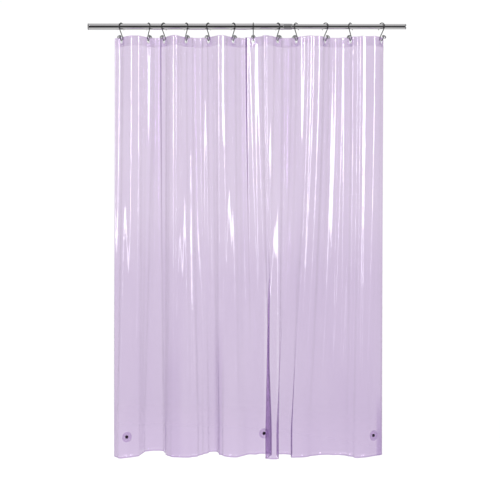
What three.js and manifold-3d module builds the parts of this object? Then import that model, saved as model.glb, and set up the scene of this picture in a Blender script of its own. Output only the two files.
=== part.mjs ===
// Shower curtain on a telescoping rod: a clear film sheet with a doubled header, twelve eyelets,
// twelve wire hooks with domed ends, and three magnets sealed into the hem.
// Millimetres, +Z up. X runs along the rod from its left end, and -Y is the side seen from the room.

import * as THREE from "three";
import { mergeVertices } from "three/addons/utils/BufferGeometryUtils.js";
import Module from "manifold-3d";

const wasm = await Module();
wasm.setup();

const GAP = 0.3; // clearance between pieces that touch

// Rod
const ROD_LENGTH = 1391;
const OUTER_TUBE_RADIUS = 13.8;
const OUTER_TUBE_WALL = 0.9;
const OUTER_TUBE_END = 857;
const BUSH_RADIUS = 13.2;
const BUSH_LENGTH = 35;
const BUSH_STUB_LENGTH = 27;
const INNER_TUBE_RADIUS = 11.7;
const INNER_TUBE_WALL = 1.2;
const INNER_TUBE_START = 257;
const PLUG_FACE = 3;
const PLUG_STUB_LENGTH = 15;
const LOCK_JOURNAL_LENGTH = 15;
const LOCK_JOURNAL_RADIUS = 6;
const LOCK_ECCENTRICITY = 1.5;
const LOCK_FLANGE = 5.7;

// Hooks: [distance along the rod, twist about the vertical in degrees]
const HOOKS = [
  [146, 25],
  [265, -25],
  [332, 28],
  [430, -26],
  [527, 24],
  [636, -27],
  [723, 0],
  [831, -26],
  [911, 29],
  [1039, -36],
  [1148, 28],
  [1285, -34],
];
const WIRE_RADIUS = 1.6;
const LOOP_HALF_WIDTH = 19.6;
const LOOP_HALF_HEIGHT = OUTER_TUBE_RADIUS + WIRE_RADIUS + GAP;
const HOOK_BASE_RADIUS = 9.5;
const HOOK_BASE_CENTRE = [2.5, -52];
const KNOB_RADIUS = 10;
const KNOB_HEIGHT = 11;
const KNOB_CENTRE = [-17.5, -46];

// Sheet
const SHEET_SIZE = 1829;
const SHEET_TOP = -45.5;
const SHEET_THICKNESS = 1;
const HEADER_HEIGHT = 42;
const EDGE_TO_HOLE = 38;
const HOLE_PITCH = (SHEET_SIZE - 2 * EDGE_TO_HOLE) / (HOOKS.length - 1);
const HOLE_HEIGHT = -64;
const EYELET_BORE = 5.5;
const EYELET_WALL = 0.8;
const EYELET_RADIUS = 8.8;
const FLAT_AT_HOLE = 11; // half width of the flat patch each eyelet grips
const SLOPE_PAST_HOOK = 24; // degrees by which the film turns further than the hook it hangs on
const SPANS_PER_FOLD = 6;

// Outline of the lower edge in plan, [x, y], from the left side edge to the right one
const LOWER_OUTLINE = [
  [120, -25], [133, -58], [148, -69], [215, -33], [228, -8], [240, 55], [256, 82], [285, 92],
  [312, 90], [328, 74], [336, 30], [352, -18], [374, -41], [404, -50], [440, -52], [466, -41],
  [490, -8], [525, 48], [547, 76], [560, 74], [568, 45], [582, 0], [600, -28], [632, -48],
  [662, -42], [678, -12], [706, 8], [745, 19], [799, 29], [803, 14], [794, -34], [778, -66],
  [782, -82], [826, -84], [835, -70], [828, -34], [825, 2], [836, 15], [874, 15], [893, -6],
  [887, -40], [898, -55], [946, -43], [1004, -2], [1052, 5], [1110, -4], [1140, -22], [1160, -52],
  [1180, -60], [1206, -50], [1290, 10],
];
const HEM_BAND = 120; // height above the lower edge over which the folds run straight down
const FOLD_HOLD = 1.5; // how long the header's folds hold on the way down
const PLEAT_EARLY = 0.5; // the narrow pleat shows sooner, round this distance along the width
const PLEAT_MIDDLE = 1020;
const PLEAT_REACH = 90;

// Magnets sealed in the hem: [name, distance along the sheet's width]
const MAGNETS = [
  ["left", 82],
  ["middle", 993],
  ["right", 1779],
];
const MAGNET_HEIGHT = 90; // above the lower edge
const MAGNET_RADIUS = 7;
const MAGNET_THICKNESS = 2.5;
const COVER_RADIUS = 22.5;
const COVER_DOME_RADIUS = 13;
const COVER_FLANGE = 0.6;
const COVER_WALL = 0.6;

const COLOURS = {
  chrome: { color: 0xc9c9cc, roughness: 0.12, metalness: 1 },
  dark: { color: 0x303033, roughness: 0.6, metalness: 0 },
  nickel: { color: 0xb8b6b4, roughness: 0.25, metalness: 1 },
  film: { color: 0xd9cae2, roughness: 0.3, metalness: 0 },
  magnet: { color: 0x1a1418, roughness: 0.7, metalness: 0.2 },
};

const curtain = new THREE.Group();

function addPiece(name, geometry, look) {
  const mesh = new THREE.Mesh(geometry, new THREE.MeshStandardMaterial(COLOURS[look]));
  mesh.name = name;
  curtain.add(mesh);
  return mesh;
}

// ---- shared geometry helpers ----

// A turned piece whose [radius, along] profile spins about the local Y axis.
function turned(profile, segments) {
  const points = profile.map(([radius, along]) => new THREE.Vector2(radius, along));
  return new THREE.LatheGeometry(points, segments);
}

// A turned piece laid along X.
function turnedAlongX(profile, segments) {
  return turned(profile, segments).rotateZ(-Math.PI / 2);
}

function ringProfile(innerRadius, outerRadius, start, end) {
  return [
    [innerRadius, start],
    [outerRadius, start],
    [outerRadius, end],
    [innerRadius, end],
    [innerRadius, start],
  ];
}

function plainSolid(geometry) {
  const bare = geometry.clone();
  bare.deleteAttribute("normal");
  bare.deleteAttribute("uv");
  const merged = mergeVertices(bare, 1e-4);
  return new wasm.Manifold(
    new wasm.Mesh({
      numProp: 3,
      vertProperties: new Float32Array(merged.attributes.position.array),
      triVerts: new Uint32Array(merged.index.array),
    }),
  );
}

function solidGeometry(solid) {
  const mesh = solid.getMesh();
  const geometry = new THREE.BufferGeometry();
  geometry.setAttribute("position", new THREE.BufferAttribute(new Float32Array(mesh.vertProperties), 3));
  geometry.setIndex(new THREE.BufferAttribute(new Uint32Array(mesh.triVerts), 1));
  return geometry;
}

// ---- rod ----

function addRod() {
  const outerBore = OUTER_TUBE_RADIUS - OUTER_TUBE_WALL;
  const innerBore = INNER_TUBE_RADIUS - INNER_TUBE_WALL;
  const outerStart = PLUG_FACE + GAP;
  const innerEnd = ROD_LENGTH - PLUG_FACE - GAP;
  const sides = 24;

  addPiece("rod_plug_left", turnedAlongX([
    [0, 0],
    [OUTER_TUBE_RADIUS, 0],
    [OUTER_TUBE_RADIUS, PLUG_FACE],
    [outerBore - GAP, PLUG_FACE],
    [outerBore - GAP, PLUG_FACE + PLUG_STUB_LENGTH],
    [0, PLUG_FACE + PLUG_STUB_LENGTH],
  ], sides), "dark");

  const outerTube = ringProfile(outerBore, OUTER_TUBE_RADIUS, outerStart, OUTER_TUBE_END);
  addPiece("rod_outer_tube", turnedAlongX(outerTube, sides), "chrome");

  const bushBore = INNER_TUBE_RADIUS + GAP;
  const collarStart = OUTER_TUBE_END + GAP;
  addPiece("rod_bush", turnedAlongX([
    [bushBore, OUTER_TUBE_END - BUSH_STUB_LENGTH],
    [outerBore - GAP, OUTER_TUBE_END - BUSH_STUB_LENGTH],
    [outerBore - GAP, collarStart],
    [BUSH_RADIUS, collarStart],
    [BUSH_RADIUS, collarStart + BUSH_LENGTH - 1.5],
    [BUSH_RADIUS - 0.8, collarStart + BUSH_LENGTH],
    [bushBore, collarStart + BUSH_LENGTH],
    [bushBore, OUTER_TUBE_END - BUSH_STUB_LENGTH],
  ], sides), "chrome");

  const innerTube = ringProfile(innerBore, INNER_TUBE_RADIUS, INNER_TUBE_START, innerEnd);
  addPiece("rod_inner_tube", turnedAlongX(innerTube, sides), "chrome");

  addPiece("rod_plug_right", turnedAlongX([
    [0, ROD_LENGTH - PLUG_FACE - PLUG_STUB_LENGTH],
    [innerBore - GAP, ROD_LENGTH - PLUG_FACE - PLUG_STUB_LENGTH],
    [innerBore - GAP, ROD_LENGTH - PLUG_FACE],
    [INNER_TUBE_RADIUS, ROD_LENGTH - PLUG_FACE],
    [INNER_TUBE_RADIUS, ROD_LENGTH],
    [0, ROD_LENGTH],
  ], sides), "dark");
}

// The twist lock in the hidden end of the inner tube: a spigot with an off-centre journal, and the
// grip ring that the journal wedges against the outer tube's bore.
function addRodLock() {
  const innerBore = INNER_TUBE_RADIUS - INNER_TUBE_WALL;
  const flangeEnd = INNER_TUBE_START - GAP;
  const flangeStart = flangeEnd - LOCK_FLANGE;
  const spigot = plainSolid(turnedAlongX([
    [0, flangeStart],
    [INNER_TUBE_RADIUS, flangeStart],
    [INNER_TUBE_RADIUS, flangeEnd],
    [innerBore - GAP, flangeEnd],
    [innerBore - GAP, flangeEnd + 2 * LOCK_JOURNAL_LENGTH],
    [0, flangeEnd + 2 * LOCK_JOURNAL_LENGTH],
  ], 16));
  const journalStart = flangeStart - LOCK_JOURNAL_LENGTH;
  const journal = turnedAlongX([
    [0, journalStart],
    [LOCK_JOURNAL_RADIUS, journalStart],
    [LOCK_JOURNAL_RADIUS, flangeStart + 1],
    [0, flangeStart + 1],
  ], 16).translate(0, 0, LOCK_ECCENTRICITY);
  addPiece("rod_lock_spigot", solidGeometry(spigot.add(plainSolid(journal))), "dark");

  const outerBore = OUTER_TUBE_RADIUS - OUTER_TUBE_WALL;
  const ringBore = LOCK_JOURNAL_RADIUS + LOCK_ECCENTRICITY + GAP;
  const ring = ringProfile(ringBore, outerBore - GAP, journalStart + 1, flangeStart - 1);
  addPiece("rod_grip_ring", turnedAlongX(ring, 16), "dark");
}

// ---- hooks ----

// The wire's centre line in its own plane: Y is towards the back of the hook and Z is up.
function hookPath() {
  const points = [[20.5, -13], [19.6, -8]];
  for (let angle = -12; angle <= 192; angle += 17) {
    const turn = THREE.MathUtils.degToRad(angle);
    points.push([LOOP_HALF_WIDTH * Math.cos(turn), LOOP_HALF_HEIGHT * Math.sin(turn)]);
  }
  points.push([-16.6, -9.5], [-8, -21.5], [3, -36]);
  for (let angle = 30; angle >= -145; angle -= 25) {
    const turn = THREE.MathUtils.degToRad(angle);
    points.push([
      HOOK_BASE_CENTRE[0] + HOOK_BASE_RADIUS * Math.cos(turn),
      HOOK_BASE_CENTRE[1] + HOOK_BASE_RADIUS * Math.sin(turn),
    ]);
  }
  points.push([-10.5, -52.5], [-15, -48.3]);
  return points;
}

function circleShape(radius, sides) {
  const points = [];
  for (let side = 0; side < sides; side += 1) {
    const turn = (2 * Math.PI * side) / sides;
    points.push(new THREE.Vector2(radius * Math.cos(turn), radius * Math.sin(turn)));
  }
  return new THREE.Shape(points);
}

function hookWireGeometry() {
  const path = new THREE.CatmullRomCurve3(
    hookPath().map(([back, up]) => new THREE.Vector3(0, back, up)),
    false,
    "centripetal",
  );
  return new THREE.ExtrudeGeometry(circleShape(WIRE_RADIUS, 6), {
    extrudePath: path,
    steps: 34,
    bevelEnabled: false,
  });
}

// A domed end with a blind bore for the wire, its axis along local Y before it is tilted.
function hookKnobGeometry() {
  const bore = WIRE_RADIUS + GAP;
  const base = -KNOB_HEIGHT / 2;
  return turned([
    [0, base + 6],
    [bore, base + 6],
    [bore, base],
    [KNOB_RADIUS * 0.5, base],
    [KNOB_RADIUS, base + 3.5],
    [KNOB_RADIUS * 0.75, base + 8.5],
    [0, base + KNOB_HEIGHT],
  ], 10);
}

function addHook(index) {
  const [along, twist] = HOOKS[index];
  const number = String(index + 1).padStart(2, "0");
  const turn = THREE.MathUtils.degToRad(-twist);

  const wire = addPiece(`hook_wire_${number}`, hookWireGeometry(), "chrome");
  wire.position.set(along, 0, 0);
  wire.rotation.z = turn;

  const stand = new THREE.Group();
  stand.position.set(along, 0, 0);
  stand.rotation.z = turn;
  const knob = addPiece(`hook_knob_${number}`, hookKnobGeometry(), "chrome");
  stand.add(knob);
  knob.position.set(0, KNOB_CENTRE[0], KNOB_CENTRE[1]);
  knob.rotation.x = THREE.MathUtils.degToRad(137);
  curtain.add(stand);
}

// ---- sheet ----

// Where each hole sits in plan: on its hook's base, which the twist swings sideways.
function holePoint(index) {
  const [along, twist] = HOOKS[index];
  const turn = THREE.MathUtils.degToRad(twist);
  const back = HOOK_BASE_CENTRE[0];
  return [along + back * Math.sin(turn), back * Math.cos(turn)];
}

function holeDistance(index) {
  return EDGE_TO_HOLE + index * HOLE_PITCH;
}

// Slope of the film at a hole, in radians from the rod: it follows its hook's twist and goes past it.
function slopeAtHole(index) {
  return THREE.MathUtils.degToRad(SLOPE_PAST_HOOK + Math.abs(HOOKS[index][1]));
}

// Direction of the film between two holes, in radians from the rod's axis. It is straight where the
// eyelets grip it. `fullness` widens the fold between them, and `tilt` leans it to one side.
function foldDirection(distance, [startSlope, endSlope], fullness, tilt) {
  const free = HOLE_PITCH - 2 * FLAT_AT_HOLE;
  const share = THREE.MathUtils.clamp((distance - FLAT_AT_HOLE) / free, 0, 1);
  const slope = startSlope + (endSlope - startSlope) * share;
  const wave = Math.cos(Math.PI * share);
  const swell = wave - Math.cos(3 * Math.PI * share);
  return slope * wave + fullness * swell + tilt * Math.sin(Math.PI * share);
}

function foldPoints(slopes, fullness, tilt, stations) {
  const fine = 240;
  const points = [[0, 0]];
  let x = 0;
  let y = 0;
  for (let step = 0; step < fine; step += 1) {
    const direction = foldDirection(((step + 0.5) * HOLE_PITCH) / fine, slopes, fullness, tilt);
    x += (Math.cos(direction) * HOLE_PITCH) / fine;
    y += (Math.sin(direction) * HOLE_PITCH) / fine;
    points.push([x, y]);
  }
  return stations.map((distance) => points[Math.round((distance / HOLE_PITCH) * fine)]);
}

// The fold with the given slopes that ends level, exactly `span` away from where it starts.
function fittedFold(slopes, span, stations) {
  let fullness = 0;
  let tilt = 0;
  for (let round = 0; round < 200; round += 1) {
    const [[x, y]] = foldPoints(slopes, fullness, tilt, [HOLE_PITCH]);
    fullness += (0.5 * (x - span)) / HOLE_PITCH;
    tilt -= y / HOLE_PITCH;
  }
  return foldPoints(slopes, fullness, tilt, stations);
}

function foldStations() {
  const stations = [FLAT_AT_HOLE];
  const free = HOLE_PITCH - 2 * FLAT_AT_HOLE;
  for (let span = 1; span < SPANS_PER_FOLD; span += 1) {
    stations.push(FLAT_AT_HOLE + (free * span) / SPANS_PER_FOLD);
  }
  stations.push(HOLE_PITCH - FLAT_AT_HOLE);
  return stations;
}

// The header's line in plan as [distance along the width, x, y]. Folds between an odd hook and the
// next come forward, and the others go back.
function headerLine() {
  const line = [];
  const stations = foldStations();
  const first = holePoint(0);
  const last = holePoint(HOOKS.length - 1);
  const firstSlope = slopeAtHole(0);
  const lastSlope = slopeAtHole(HOOKS.length - 1);
  line.push([0, first[0] - 31, first[1] + 21]);
  line.push([
    EDGE_TO_HOLE - FLAT_AT_HOLE,
    first[0] - FLAT_AT_HOLE * Math.cos(firstSlope),
    first[1] + FLAT_AT_HOLE * Math.sin(firstSlope),
  ]);
  for (let index = 0; index < HOOKS.length - 1; index += 1) {
    const [startX, startY] = holePoint(index);
    const [endX, endY] = holePoint(index + 1);
    const span = Math.hypot(endX - startX, endY - startY);
    const lean = Math.atan2(endY - startY, endX - startX);
    const side = index % 2 === 0 ? -1 : 1;
    const points = fittedFold([slopeAtHole(index), slopeAtHole(index + 1)], span, stations);
    points.forEach(([x, y], place) => {
      const sideways = side * y;
      line.push([
        holeDistance(index) + stations[place],
        startX + x * Math.cos(lean) - sideways * Math.sin(lean),
        startY + x * Math.sin(lean) + sideways * Math.cos(lean),
      ]);
    });
  }
  line.push([
    SHEET_SIZE - EDGE_TO_HOLE + FLAT_AT_HOLE,
    last[0] + FLAT_AT_HOLE * Math.cos(lastSlope),
    last[1] + FLAT_AT_HOLE * Math.sin(lastSlope),
  ]);
  line.push([SHEET_SIZE, last[0] + 9, last[1] + 34]);
  return line;
}

// Points of a line at given distances, with its own length stretched to the sheet's width.
function pointsAlong(line, distances) {
  const lengths = [0];
  for (let place = 1; place < line.length; place += 1) {
    const step = Math.hypot(line[place][0] - line[place - 1][0], line[place][1] - line[place - 1][1]);
    lengths.push(lengths[place - 1] + step);
  }
  const total = lengths[lengths.length - 1];
  return distances.map((distance) => {
    const wanted = (distance / SHEET_SIZE) * total;
    let place = 1;
    while (place < line.length - 1 && lengths[place] < wanted) {
      place += 1;
    }
    const share = (wanted - lengths[place - 1]) / (lengths[place] - lengths[place - 1]);
    const from = line[place - 1];
    const to = line[place];
    return [from[0] + (to[0] - from[0]) * share, from[1] + (to[1] - from[1]) * share];
  });
}

// A line moved sideways by `offset`, towards +Y where the line runs along +X.
function offsetLine(line, offset) {
  return line.map((point, place) => {
    const before = line[Math.max(place - 1, 0)];
    const after = line[Math.min(place + 1, line.length - 1)];
    const into = new THREE.Vector2(point[0] - before[0], point[1] - before[1]).normalize();
    const out = new THREE.Vector2(after[0] - point[0], after[1] - point[1]).normalize();
    const along = into.clone().add(out).normalize();
    const normal = new THREE.Vector2(-along.y, along.x);
    const edge = into.lengthSq() > 0 ? into : out;
    const widening = Math.max(0.5, normal.dot(new THREE.Vector2(-edge.y, edge.x)));
    return [point[0] + (normal.x * offset) / widening, point[1] + (normal.y * offset) / widening];
  });
}

// A closed thin wall whose plan line at each level is given, top level first.
function wallGeometry(levels, nearOffset, farOffset) {
  const columns = levels[0].line.length;
  const positions = [];
  for (const offset of [nearOffset, farOffset]) {
    for (const level of levels) {
      for (const [x, y] of offsetLine(level.line, offset)) {
        positions.push(x, y, level.height);
      }
    }
  }
  const side = columns * levels.length;
  const near = (row, column) => row * columns + column;
  const far = (row, column) => side + row * columns + column;
  const index = [];
  const quad = (a, b, c, d) => index.push(a, b, c, a, c, d);
  for (let row = 0; row < levels.length - 1; row += 1) {
    for (let column = 0; column < columns - 1; column += 1) {
      quad(near(row, column), near(row + 1, column), near(row + 1, column + 1), near(row, column + 1));
      quad(far(row, column), far(row, column + 1), far(row + 1, column + 1), far(row + 1, column));
    }
    quad(near(row, 0), far(row, 0), far(row + 1, 0), near(row + 1, 0));
    const end = columns - 1;
    quad(near(row, end), near(row + 1, end), far(row + 1, end), far(row, end));
  }
  const bottom = levels.length - 1;
  for (let column = 0; column < columns - 1; column += 1) {
    quad(near(0, column), near(0, column + 1), far(0, column + 1), far(0, column));
    quad(near(bottom, column), far(bottom, column), far(bottom, column + 1), near(bottom, column + 1));
  }
  const geometry = new THREE.BufferGeometry();
  geometry.setAttribute("position", new THREE.Float32BufferAttribute(positions, 3));
  geometry.setIndex(index);
  return geometry;
}

// Slope of the film through each hole, from the stations on both sides of it.
function holeSlope(line, index) {
  const before = line.find(([distance]) => Math.abs(distance - holeDistance(index) + FLAT_AT_HOLE) < 0.01);
  const after = line.find(([distance]) => Math.abs(distance - holeDistance(index) - FLAT_AT_HOLE) < 0.01);
  return Math.atan2(after[2] - before[2], after[1] - before[1]);
}

// Holes for the eyelets, as one cutter for each, square to the film.
function cutHoles(geometry, line) {
  let solid = plainSolid(geometry);
  for (let index = 0; index < HOOKS.length; index += 1) {
    const [x, y] = holePoint(index);
    const cutter = new THREE.CylinderGeometry(
      EYELET_BORE + EYELET_WALL + GAP,
      EYELET_BORE + EYELET_WALL + GAP,
      12,
      12,
    );
    cutter.rotateZ(holeSlope(line, index)).translate(x, y, HOLE_HEIGHT);
    solid = solid.subtract(plainSolid(cutter));
  }
  return solidGeometry(solid);
}

function addEyelet(line, index) {
  const [x, y] = holePoint(index);
  const near = -SHEET_THICKNESS / 2 - GAP;
  const far = SHEET_THICKNESS * 1.5 + 2 * GAP;
  const barrel = EYELET_BORE + EYELET_WALL;
  const eyelet = addPiece(`eyelet_${String(index + 1).padStart(2, "0")}`, turned([
    [EYELET_BORE, near - EYELET_WALL],
    [EYELET_RADIUS, near - EYELET_WALL],
    [EYELET_RADIUS, near],
    [barrel, near],
    [barrel, far],
    [EYELET_RADIUS, far],
    [EYELET_RADIUS, far + EYELET_WALL],
    [EYELET_BORE, far + EYELET_WALL],
    [EYELET_BORE, near - EYELET_WALL],
  ], 12), "nickel");
  eyelet.position.set(x, y, HOLE_HEIGHT);
  eyelet.rotation.z = holeSlope(line, index);
}

function foldHold(distance) {
  return FOLD_HOLD - PLEAT_EARLY * Math.exp(-(((distance - PLEAT_MIDDLE) / PLEAT_REACH) ** 2));
}

function sheetLevels(line, distances) {
  const upper = line.map(([, x, y]) => [x, y]);
  const lower = pointsAlong(LOWER_OUTLINE, distances);
  const headerBottom = SHEET_TOP - HEADER_HEIGHT;
  const hemTop = SHEET_TOP - SHEET_SIZE + HEM_BAND;
  const steps = 5;
  const levels = [{ height: SHEET_TOP, line: upper }];
  for (let step = 0; step <= steps; step += 1) {
    const share = step / steps;
    const height = headerBottom + (hemTop - headerBottom) * share;
    const blend = upper.map(([x, y], place) => {
      const lowered = share ** foldHold(distances[place]);
      return [x + (lower[place][0] - x) * lowered, y + (lower[place][1] - y) * lowered];
    });
    levels.push({ height, line: blend });
  }
  levels.push({ height: SHEET_TOP - SHEET_SIZE, line: lower });
  return levels;
}

// Extra stations where a magnet's cover lies flat on the film.
function withMagnetStations(line) {
  const wider = [...line];
  for (const [, distance] of MAGNETS) {
    for (const station of [distance - COVER_RADIUS - 2, distance + COVER_RADIUS + 2]) {
      const after = wider.findIndex((entry) => entry[0] > station);
      const [from, to] = [wider[after - 1], wider[after]];
      const share = (station - from[0]) / (to[0] - from[0]);
      const x = from[1] + (to[1] - from[1]) * share;
      const y = from[2] + (to[2] - from[2]) * share;
      wider.splice(after, 0, [station, x, y]);
    }
  }
  return wider;
}

function addMagnet([name, distance]) {
  const [before, centre, after] = pointsAlong(LOWER_OUTLINE, [distance - 5, distance, distance + 5]);
  const slope = Math.atan2(after[1] - before[1], after[0] - before[0]);
  const height = SHEET_TOP - SHEET_SIZE + MAGNET_HEIGHT;
  const face = SHEET_THICKNESS / 2 + GAP;
  const pocket = MAGNET_THICKNESS + 2 * GAP;

  const magnet = addPiece(`magnet_${name}`, turned([
    [0, face + GAP],
    [MAGNET_RADIUS, face + GAP],
    [MAGNET_RADIUS, face + GAP + MAGNET_THICKNESS],
    [0, face + GAP + MAGNET_THICKNESS],
  ], 16), "magnet");
  const cover = addPiece(`magnet_cover_${name}`, turned([
    [MAGNET_RADIUS + GAP, face],
    [COVER_RADIUS, face],
    [COVER_RADIUS, face + COVER_FLANGE],
    [COVER_DOME_RADIUS, face + COVER_FLANGE],
    [MAGNET_RADIUS + 2, face + pocket + COVER_WALL],
    [0, face + pocket + COVER_WALL],
    [0, face + pocket],
    [MAGNET_RADIUS + GAP, face + pocket],
    [MAGNET_RADIUS + GAP, face],
  ], 16), "film");
  for (const piece of [magnet, cover]) {
    piece.position.set(centre[0], centre[1], height);
    piece.rotation.z = slope;
  }
}

function addSheet() {
  const header = headerLine();
  const line = withMagnetStations(header);
  const half = SHEET_THICKNESS / 2;
  const levels = sheetLevels(line, line.map(([distance]) => distance));
  addPiece("curtain_sheet", cutHoles(wallGeometry(levels, -half, half), header), "film");

  const plan = header.map(([, x, y]) => [x, y]);
  const strip = [
    { height: SHEET_TOP, line: plan },
    { height: SHEET_TOP - HEADER_HEIGHT, line: plan },
  ];
  const behind = wallGeometry(strip, half + GAP, half + GAP + SHEET_THICKNESS);
  addPiece("header_strip", cutHoles(behind, header), "film");

  HOOKS.forEach((hook, index) => addEyelet(header, index));
  MAGNETS.forEach(addMagnet);
}

addRod();
addRodLock();
HOOKS.forEach((hook, index) => addHook(index));
addSheet();

export default curtain;
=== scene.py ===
import math

import bmesh
import bpy
import numpy as np
from mathutils import Matrix, Vector


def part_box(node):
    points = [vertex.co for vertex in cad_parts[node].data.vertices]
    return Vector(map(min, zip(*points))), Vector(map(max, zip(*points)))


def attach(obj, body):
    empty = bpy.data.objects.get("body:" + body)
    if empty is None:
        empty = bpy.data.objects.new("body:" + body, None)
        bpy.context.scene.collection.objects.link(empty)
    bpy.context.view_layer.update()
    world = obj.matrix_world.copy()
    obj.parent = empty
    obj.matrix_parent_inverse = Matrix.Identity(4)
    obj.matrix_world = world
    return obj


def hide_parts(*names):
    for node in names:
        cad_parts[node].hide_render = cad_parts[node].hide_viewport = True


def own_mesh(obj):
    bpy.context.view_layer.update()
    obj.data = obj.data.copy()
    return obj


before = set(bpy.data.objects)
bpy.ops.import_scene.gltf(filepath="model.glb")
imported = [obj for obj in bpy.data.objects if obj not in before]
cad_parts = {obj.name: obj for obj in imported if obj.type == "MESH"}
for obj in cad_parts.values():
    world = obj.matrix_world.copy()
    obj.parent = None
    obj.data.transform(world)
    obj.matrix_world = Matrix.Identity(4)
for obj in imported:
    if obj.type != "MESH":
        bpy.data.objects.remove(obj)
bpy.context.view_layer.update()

# Sizes in metres, in the frame: X along the rod, -Y towards the room, Z up.

HOOK_TWISTS = [25, -25, 28, -26, 24, -27, 0, -26, 29, -36, 28, -34]  # degrees about the vertical
HOOK_COUNT = len(HOOK_TWISTS)
WIRE_RADIUS = 0.0019
LOOP_HALF_WIDTH = 0.0196
WIRE_TIP_SWELL = (0.35, 0.75, 0.98, 1.12, 1.14, 1.08)
WIRE_SPACING = 0.0012
HOOK_BASE_RADIUS = 0.0095
HOOK_BASE_BACK = 0.0025
HOOK_BASE_UP = -0.052
KNOB_BACK = -0.0175
KNOB_UP = -0.046
KNOB_TILT = 137
KNOB_RADIUS = 0.01
KNOB_HEIGHT = 0.011
EYELET_BORE = 0.0055
EYELET_RADIUS = 0.0088
EYELET_HALF = 0.0019

SHEET_SIZE = 1.829
SHEET_THICKNESS = 0.0004
EDGE_TO_HOLE = 0.038
HOLE_PITCH = (SHEET_SIZE - 2 * EDGE_TO_HOLE) / (HOOK_COUNT - 1)
FLAT_AT_HOLE = 0.011
SLOPE_PAST_HOOK = 24
HOLE_RADIUS = 0.0062
LEFT_EDGE_SLOPE = 6
RIGHT_EDGE_SLOPE = 75
HEADER_DROP = 0.042
HEADER_STAND_OFF = 0.0012
HEM_BAND = 0.12
FOLD_HOLD = 1.5
PLEAT_EARLY = 0.2
PLEAT_MIDDLE = 1.02
PLEAT_REACH = 0.09

# Spacing of the film's mesh: round the holes, across and down elsewhere
NEAR_A_HOLE = 0.011
FINE_SPACING = 0.0018
ACROSS_SPACING = 0.0055
TOP_SPACING = 0.0035
HEADER_SPACING = 0.004
DOWN_SPACING = 0.022

# The film's ripples: how many, and the ranges of their width, length and size per width
RIPPLE_COUNT = 14
RIPPLE_WIDTHS = (0.026, 0.075)
RIPPLE_DROPS = (6.0, 12.0)
RIPPLE_SIZES = (0.3, 0.7)
RIPPLE_SLOPE = 0.003
RIPPLE_SWAY = 0.5
RIPPLE_SEED = 7
GATHER_SIZE = 0.0016

# Outline of the lower edge in plan, from the left side edge to the right one
LOWER_OUTLINE = [
    (0.120, -0.025), (0.133, -0.058), (0.148, -0.069), (0.215, -0.033), (0.228, -0.008),
    (0.240, 0.055), (0.256, 0.082), (0.285, 0.092), (0.312, 0.090), (0.328, 0.074),
    (0.336, 0.030), (0.352, -0.018), (0.374, -0.041), (0.404, -0.050), (0.440, -0.052),
    (0.466, -0.041), (0.490, -0.008), (0.525, 0.048), (0.547, 0.076), (0.560, 0.074),
    (0.568, 0.045), (0.582, 0.000), (0.600, -0.028), (0.632, -0.048), (0.662, -0.042),
    (0.678, -0.012), (0.706, 0.008), (0.745, 0.019), (0.799, 0.029), (0.803, 0.014),
    (0.794, -0.034), (0.778, -0.066), (0.782, -0.082), (0.826, -0.084), (0.835, -0.070),
    (0.828, -0.034), (0.825, 0.002), (0.836, 0.015), (0.874, 0.015), (0.893, -0.006),
    (0.887, -0.040), (0.898, -0.055), (0.946, -0.043), (1.004, -0.002), (1.052, 0.005),
    (1.110, -0.004), (1.140, -0.022), (1.160, -0.052), (1.180, -0.060), (1.206, -0.050),
    (1.290, 0.010),
]

# Painted shade where the film looks deeper lower down, under its fold bands and at the right-hand corner,
# and painted light, clearer film, where the depth
# is negative: (middle and half width along X, height where it starts, height where it is full, depth)
PAINTED_FOLD_SHADE_AND_LIGHT = [
    (0.375, 0.035, -1.2, -1.5, 0.5),
    (0.57, 0.018, -1.25, -1.5, 0.8),
    (0.783, 0.012, -1.0, -1.3, -0.8),
    (0.831, 0.008, -1.2, -1.4, -0.6),
    (1.275, 0.014, -1.6, -1.8, 2.0),
]

ROD_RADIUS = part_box("rod_outer_tube")[1][2]
LOOP_HALF_HEIGHT = ROD_RADIUS + WIRE_RADIUS + 0.0003

SHEET_LOW, SHEET_HIGH = (Vector(corner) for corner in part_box("curtain_sheet"))
SHEET_TOP = SHEET_HIGH.z
SHEET_BOTTOM = SHEET_LOW.z
HEADER_BOTTOM = SHEET_TOP - HEADER_DROP


def centre_of(node):
    low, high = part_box(node)
    return (Vector(low) + Vector(high)) / 2


HOLES = [centre_of(f"eyelet_{number + 1:02d}") for number in range(HOOK_COUNT)]
HOLE_HEIGHT = HOLES[0].z


def hole_along(number):
    """Where the hole is along the film's width."""
    return EDGE_TO_HOLE + number * HOLE_PITCH


def hook_along(number):
    """Where the hook sits on the rod, from its hole and its twist."""
    return HOLES[number].x - HOOK_BASE_BACK * math.sin(math.radians(HOOK_TWISTS[number]))


# ---- camera, light and stage ----

CAMERA_DISTANCE = 5.0
VIEW_WIDTH = 2.1875  # metres across the frame at the rod
VIEW_CENTRE = Vector((0.709, 0, -0.9771))
CAMERA_HEIGHT = -0.823
SENSOR = 36
FLOOR_HEIGHT = -2.05
FLOOR_HALF = 30
FLOOR_FADE = (2.2, 3.2)  # distances from the frame's origin
FLOOR_GLOW = 0.72
STUDIO_WHITE = 1.02
SOFTBOX_DISTANCE = 2.6
SOFTBOX_ANGLE = 50

# Each tall softbox narrows and fades towards its foot: (part, bottom, top, width, watts per m2)
SOFTBOX_PARTS = [
    ("top", -0.45, 1.0, 0.7, 46),
    ("middle", -0.85, -0.45, 0.4, 40),
    ("low", -1.2, -0.85, 0.28, 22),
    ("foot", -1.7, -1.2, 0.22, 7),
]

# What the chrome mirrors, as (place from straight down at 0 to straight up at 1, grey)
ROOM_GREYS = [
    (0.0, 0.9), (0.12, 0.5), (0.24, 0.3), (0.26, 0.004), (0.645, 0.004),
    (0.665, 0.75), (0.75, 0.5), (0.92, 0.5), (1, 0.95),
]
ROOM_BACK = (0.55, 0.97)  # the directions over which the room gives way to white behind the curtain
ROOM_BACK_GREY = 0.9


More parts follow.
